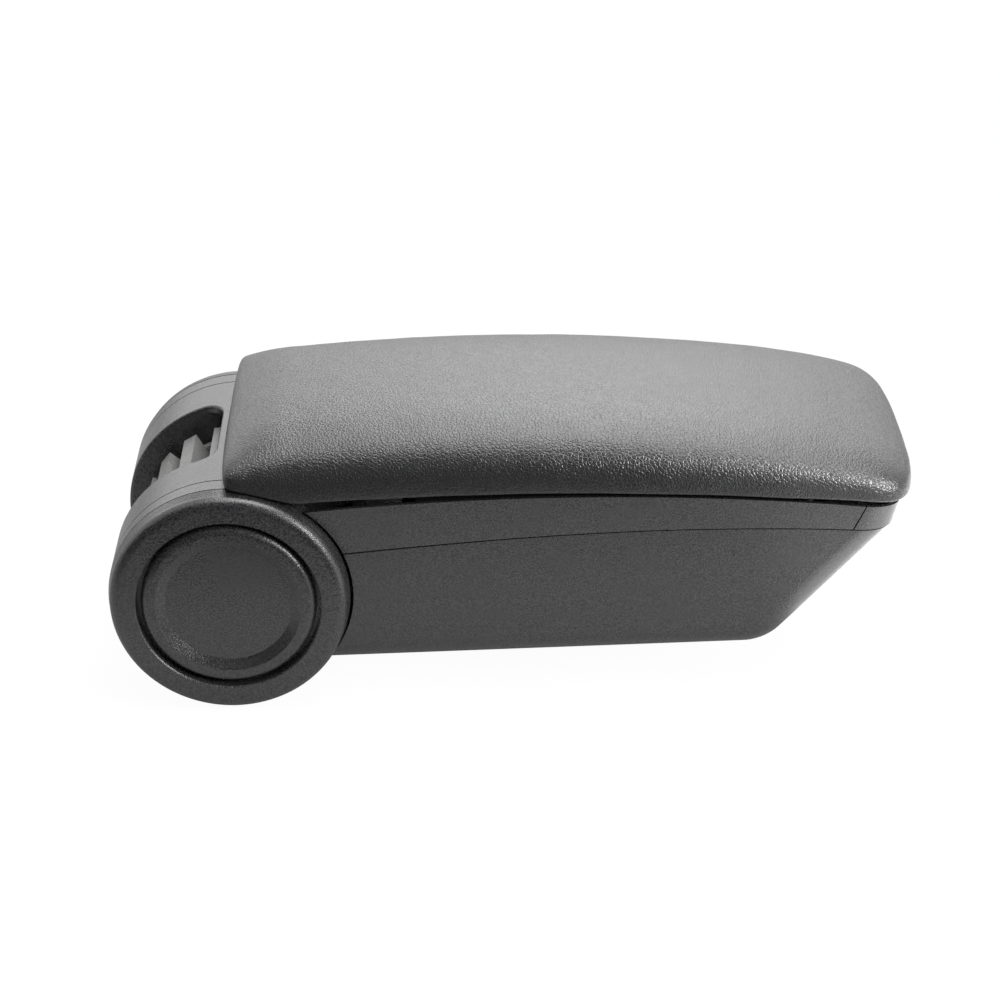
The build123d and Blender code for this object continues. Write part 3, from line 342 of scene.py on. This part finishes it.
def makePlastic(name, dark, light, gloss, grain, speck, depth, shine=0.5):
    material, tree, shader = newMaterial(name)
    place = addNode(tree, "ShaderNodeTexCoord").outputs["Object"]
    coarse = addNoise(tree, place, grain, 3.0, 0.6)
    fine = addNode(tree, "ShaderNodeTexVoronoi", feature="F1", Scale=speck)
    tree.links.new(place, fine.inputs["Vector"])
    cloudy = addNoise(tree, place, 28.0, 3.0)
    first = addBump(tree, coarse.outputs["Fac"], depth, grainDrop)
    second = addBump(tree, fine.outputs["Distance"], depth * 0.5, speckDrop, first)
    tree.links.new(second.outputs["Normal"], shader.inputs["Normal"])
    mottle = addRange(tree, coarse.outputs["Fac"], 0.0, 1.0, 0.36, 0.64)
    tree.links.new(addTint(tree, mottle, dark, light), shader.inputs["Base Color"])
    rough = addRange(tree, cloudy.outputs["Fac"], *gloss, 0.3, 0.7)
    tree.links.new(rough, shader.inputs["Roughness"])
    shader.inputs["Specular IOR Level"].default_value = shine
    return material


# turned and plated metal, with fine lines along one axis
metalSet = {
    "steel": {
        "name": "platedSteel", "dark": (0.46, 0.46, 0.48), "light": (0.58, 0.58, 0.59),
        "gloss": (0.26, 0.42), "lines": (1, 0.15, 1),
    },
    "brass": {
        "name": "turnedBrass", "dark": (0.62, 0.45, 0.18), "light": (0.74, 0.56, 0.27),
        "gloss": (0.24, 0.38), "lines": (1, 1, 0.2),
    },
}


def makeMetal(name, dark, light, gloss, lines):
    material, tree, shader = newMaterial(name)
    place = addNode(tree, "ShaderNodeTexCoord").outputs["Object"]
    stretch = addNode(tree, "ShaderNodeMapping", vector_type="POINT")
    stretch.inputs["Scale"].default_value = lines
    tree.links.new(place, stretch.inputs["Vector"])
    turned = addNoise(tree, stretch.outputs["Vector"], 900.0, 3.0)
    patch = addNoise(tree, place, 120.0, 2.0)
    tree.links.new(addTint(tree, patch.outputs["Fac"], dark, light), shader.inputs["Base Color"])
    rough = addRange(tree, turned.outputs["Fac"], *gloss, 0.3, 0.7)
    tree.links.new(rough, shader.inputs["Roughness"])
    scored = addBump(tree, turned.outputs["Fac"], 0.15, 0.00005)
    tree.links.new(scored.outputs["Normal"], shader.inputs["Normal"])
    shader.inputs["Metallic"].default_value = 1.0
    return material


finishes = {"leatherette": makeLeatherette()}
for slotName, look in plasticSet.items():
    finishes[slotName] = makePlastic(**look)
for slotName, look in metalSet.items():
    finishes[slotName] = makeMetal(**look)
slotOfNode = {row["node"]: row["material_slot"] for row in frame["record"]["subparts"]}
for nodeName, node in nodes.items():
    node.data.materials.clear()
    finishName = "lid_board_painted_shade" if nodeName == "lid_pan" else slotOfNode[nodeName]  # matt under face of the lid, darker and duller than the other black mouldings: painted shade in the gap under the cushion
    node.data.materials.append(finishes[finishName])
print("finishes on", len(nodes), "nodes")


# cushion: a crowned leatherette pad, drawn round the lid board and turned under at its edge
cushionSet = {
    "rear": -0.0016,
    "front": 0.2792,
    "half": 0.0604,
    "axis": 0.040,
    "arch": ((0.026, 0.0714), (0.118, 0.0763), (0.198, 0.0719)),
    "under": ((0.027, 0.0440), (0.150, 0.0476), (0.278, 0.0403)),
    "underRear": 0.0513,
    "frontRoll": (0.060, 0.0055),
    "rearRoll": (0.025, 0.0070),
    "rollPower": 1.8,
    "round": 3.1,
    "frontEnd": (0.030, 5.0),
    "rearEnd": (0.008, 9.0),
    "cells": (92, 44),
    "edge": 0.0013,
    "lower": 0.0005,
    "leverClear": (0.225, 0.245),
    "slack": 0.0010,
    "cap": 0.0022,
    "skin": 0.0012,
    "folds": ((0.0002, 0.0006), (0.0004, 0.0005), (0.0007, 0.0002), (0.0030, 0.0)),  # inward, down
    "sectionRise": 0.027,
    "lumps": ((55.0, 1.0), (130.0, 0.5)),  # how close, how strong
    "lumpHeight": 0.00016,
}


def archHeight(points, x):
    (ax, az), (bx, bz), (cx, cz) = points
    d = 2 * (ax * (bz - cz) + bx * (cz - az) + cx * (az - bz))
    sa, sb, sc = ax * ax + az * az, bx * bx + bz * bz, cx * cx + cz * cz
    mx = (sa * (bz - cz) + sb * (cz - az) + sc * (az - bz)) / d
    mz = (sa * (cx - bx) + sb * (ax - cx) + sc * (bx - ax)) / d
    radius = math.hypot(ax - mx, az - mz)
    return mz + math.sqrt(radius * radius - (x - mx) ** 2)


def cushionUnder(x):
    kinkX, kinkZ = cushionSet["under"][0]
    if x < kinkX:
        share = (x - cushionSet["rear"]) / (kinkX - cushionSet["rear"])
        return cushionSet["underRear"] + (kinkZ - cushionSet["underRear"]) * share
    return archHeight(cushionSet["under"], x)


def cushionEdge(x):
    # the edge hangs a little lower, except over the lever, which needs room to lift
    start, end = cushionSet["leverClear"]
    fade = min(1, max(0, (end - x) / (end - start)))
    return cushionUnder(x) - cushionSet["lower"] * fade


def cushionTop(x):
    frontLength, frontDrop = cushionSet["frontRoll"]
    rearLength, rearDrop = cushionSet["rearRoll"]
    frontShare = max(0, x - cushionSet["front"] + frontLength) / frontLength
    rearShare = max(0, cushionSet["rear"] + rearLength - x) / rearLength
    height = archHeight(cushionSet["arch"], x)
    power = cushionSet["rollPower"]
    return height - frontDrop * frontShare**power - rearDrop * rearShare**power


def cushionFill(x, y):
    # 0 in the middle of the pad, 1 on its outline
    frontLength, frontPower = cushionSet["frontEnd"]
    rearLength, rearPower = cushionSet["rearEnd"]
    frontShare = max(0, x - cushionSet["front"] + frontLength) / frontLength
    rearShare = max(0, cushionSet["rear"] + rearLength - x) / rearLength
    across = (abs(y) / cushionSet["half"]) ** cushionSet["round"]
    return across + frontShare**frontPower + rearShare**rearPower


def evenSteps(count):
    # shares of the way to the outline that lie evenly along the pad's curved section
    power = cushionSet["round"]
    rise = cushionSet["sectionRise"]
    fine = 2000
    lengths = [0.0]
    shares = [0.0]
    last = (0.0, rise)
    for step in range(1, fine + 1):
        turn = math.pi / 2 * step / fine
        share = math.sin(turn) ** (2 / power)
        point = (cushionSet["half"] * share, rise * math.cos(turn) ** (2 / power) if step < fine else 0.0)
        lengths.append(lengths[-1] + math.dist(point, last))
        shares.append(share)
        last = point
    picked = []
    spot = 0
    for step in range(count + 1):
        goal = lengths[-1] * step / count
        while lengths[spot] < goal and spot < fine:
            spot += 1
        picked.append(shares[spot])
    return picked


def makeCushion():
    cellsX, cellsY = cushionSet["cells"]
    bpy.ops.object.select_all(action="DESELECT")
    bpy.ops.mesh.primitive_grid_add(x_subdivisions=cellsX, y_subdivisions=cellsY, size=2.0)
    pad = bpy.context.object
    pad.name = "cushion_pad"
    middle = (cushionSet["rear"] + cushionSet["front"]) / 2
    reach = (cushionSet["front"] - cushionSet["rear"]) / 2
    fineSteps = 400
    halvings = 40
    steps = evenSteps(fineSteps)
    for vertex in pad.data.vertices:
        a, c = vertex.co.x, vertex.co.y
        ring = max(abs(a), abs(c))
        share = steps[round(ring * fineSteps)]
        if ring == 0:
            x, y = middle, 0.0
        else:
            low, high = 0.0, 1.0
            for _ in range(halvings):
                scale = (low + high) / 2
                tryX, tryY = middle + scale * a / ring * reach, scale * c / ring * cushionSet["half"]
                if cushionFill(tryX, tryY) < 1:
                    low = scale
                else:
                    high = scale
            x = middle + low * share * a / ring * reach
            y = low * share * c / ring * cushionSet["half"]
        base = cushionEdge(x) + cushionSet["edge"]
        rise = cushionTop(x) - cushionSet["slack"] - base
        left = max(0.0, 1 - cushionFill(x, y)) ** (1 / cushionSet["round"])
        vertex.co = (x, y, cushionSet["axis"] + base + rise * left)
    # turn the edge under in a soft fold and a flat hem
    bpy.ops.object.mode_set(mode="EDIT")
    bpy.ops.mesh.select_mode(type="EDGE")
    for inward, down in cushionSet["folds"]:
        bpy.ops.mesh.select_all(action="DESELECT")
        bpy.ops.mesh.select_non_manifold(
            extend=False, use_wire=False, use_boundary=True,
            use_multi_face=False, use_non_contiguous=False, use_verts=False,
        )
        bpy.ops.mesh.extrude_edges_move(TRANSFORM_OT_translate={"value": (0, 0, -down)})
        bpy.ops.transform.resize(
            value=(1 - inward / reach, 1 - inward / cushionSet["half"], 1),
            center_override=(middle, 0, 0),
        )
    bpy.ops.mesh.select_all(action="SELECT")
    bpy.ops.mesh.normals_make_consistent(inside=False)
    bpy.ops.object.mode_set(mode="OBJECT")
    return pad


# the cloth that swells the pad
swellSet = {
    "quality": 6,
    "mass": 0.3,
    "tension": 25,
    "shear": 12,
    "bending": 4,
    "pressure": 4.0,
    "frames": 20,
}


def swellCushion(pad):
    cellsX, cellsY = cushionSet["cells"]
    crownCount = (cellsX + 1) * (cellsY + 1)
    start = [vertex.co.copy() for vertex in pad.data.vertices]
    held = pad.vertex_groups.new(name="held")
    held.add(list(range(crownCount, len(start))), 1.0, "REPLACE")  # the folded edge
    cloth = pad.modifiers.new("swell", "CLOTH")
    cloth.settings.quality = swellSet["quality"]
    cloth.settings.mass = swellSet["mass"]
    cloth.settings.tension_stiffness = swellSet["tension"]
    cloth.settings.compression_stiffness = swellSet["tension"]
    cloth.settings.shear_stiffness = swellSet["shear"]
    cloth.settings.bending_stiffness = swellSet["bending"]
    cloth.settings.use_pressure = True
    cloth.settings.uniform_pressure_force = swellSet["pressure"]
    cloth.settings.effector_weights.gravity = 0
    cloth.settings.vertex_group_mass = "held"
    cloth.point_cache.frame_start = 1
    cloth.point_cache.frame_end = swellSet["frames"]
    for frameNumber in range(1, swellSet["frames"] + 1):
        scene.frame_set(frameNumber)
    bpy.context.view_layer.objects.active = pad
    bpy.ops.object.modifier_apply(modifier="swell")
    scene.frame_set(1)
    moves = []
    for vertex, co in zip(pad.data.vertices, start):
        move = vertex.co - co
        moves.append(move.length)
        if move.length > cushionSet["cap"]:
            vertex.co = co + move * (cushionSet["cap"] / move.length)
    pad.vertex_groups.clear()
    print("cushion swell: mean %.2f mm, most %.2f mm" % (1000 * sum(moves) / len(moves), 1000 * max(moves)))


def finishCushion(pad):
    bpy.context.view_layer.objects.active = pad
    smooth = pad.modifiers.new("smooth", "SUBSURF")
    smooth.levels = smooth.render_levels = 1
    bpy.ops.object.modifier_apply(modifier="smooth")
    # slight hand-made unevenness of the wrapped cover
    normals = [vertex.normal.copy() for vertex in pad.data.vertices]
    for vertex, normal in zip(pad.data.vertices, normals):
        lump = sum(strength * noise.noise(vertex.co * close) for close, strength in cushionSet["lumps"])
        vertex.co += normal * (cushionSet["lumpHeight"] * lump)
    wall = pad.modifiers.new("wall", "SOLIDIFY")
    wall.thickness = cushionSet["skin"]
    wall.offset = -1
    bpy.ops.object.modifier_apply(modifier="wall")
    bpy.ops.object.select_all(action="DESELECT")
    pad.select_set(True)
    bpy.ops.object.shade_smooth()
    pad.data.materials.append(finishes["leatherette"])
    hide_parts("cushion_cover", "foam_pad")
    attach(pad, "lid")


cushionPad = makeCushion()
swellCushion(cushionPad)
finishCushion(cushionPad)
print("cushion made:", len(cushionPad.data.polygons), "faces")

# latch spring: a wire coil that the lever presses down
springSet = {"wire": 0.00045, "turns": 4, "wireSides": 10, "stepsPerTurn": 40, "pressed": 0.8}


def makeSpring():
    low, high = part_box("latch_spring")
    middleX, middleY = (low[0] + high[0]) / 2, (low[1] + high[1]) / 2
    wire = springSet["wire"]
    coil = (high[0] - low[0]) / 2 - wire
    climb = high[2] - low[2] - 2 * wire
    bpy.ops.object.select_all(action="DESELECT")
    bpy.ops.mesh.primitive_circle_add(
        vertices=springSet["wireSides"], radius=wire, fill_type="NGON",
        location=(coil, 0, 0), rotation=(math.radians(90), 0, 0),
    )
    spring = bpy.context.object
    spring.name = "coil_spring"
    bpy.ops.object.transform_apply()
    winding = spring.modifiers.new("winding", "SCREW")
    winding.axis = "Z"
    winding.iterations = springSet["turns"]
    winding.steps = winding.render_steps = springSet["stepsPerTurn"]
    winding.screw_offset = climb / springSet["turns"]
    bpy.ops.object.modifier_apply(modifier="winding")
    bpy.ops.object.mode_set(mode="EDIT")
    bpy.ops.mesh.select_all(action="SELECT")
    bpy.ops.transform.translate(value=(middleX, middleY, low[2] + wire))
    bpy.ops.mesh.remove_doubles(threshold=1e-7)
    bpy.ops.mesh.normals_make_consistent(inside=False)
    bpy.ops.object.mode_set(mode="OBJECT")
    bpy.ops.object.shade_smooth_by_angle(angle=math.radians(40))
    spring.data.materials.append(finishes["steel"])
    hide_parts("latch_spring")
    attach(spring, "arm")
    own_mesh(spring)
    return spring


latchSpring = makeSpring()
print("latch spring wound:", len(latchSpring.data.polygons), "faces")
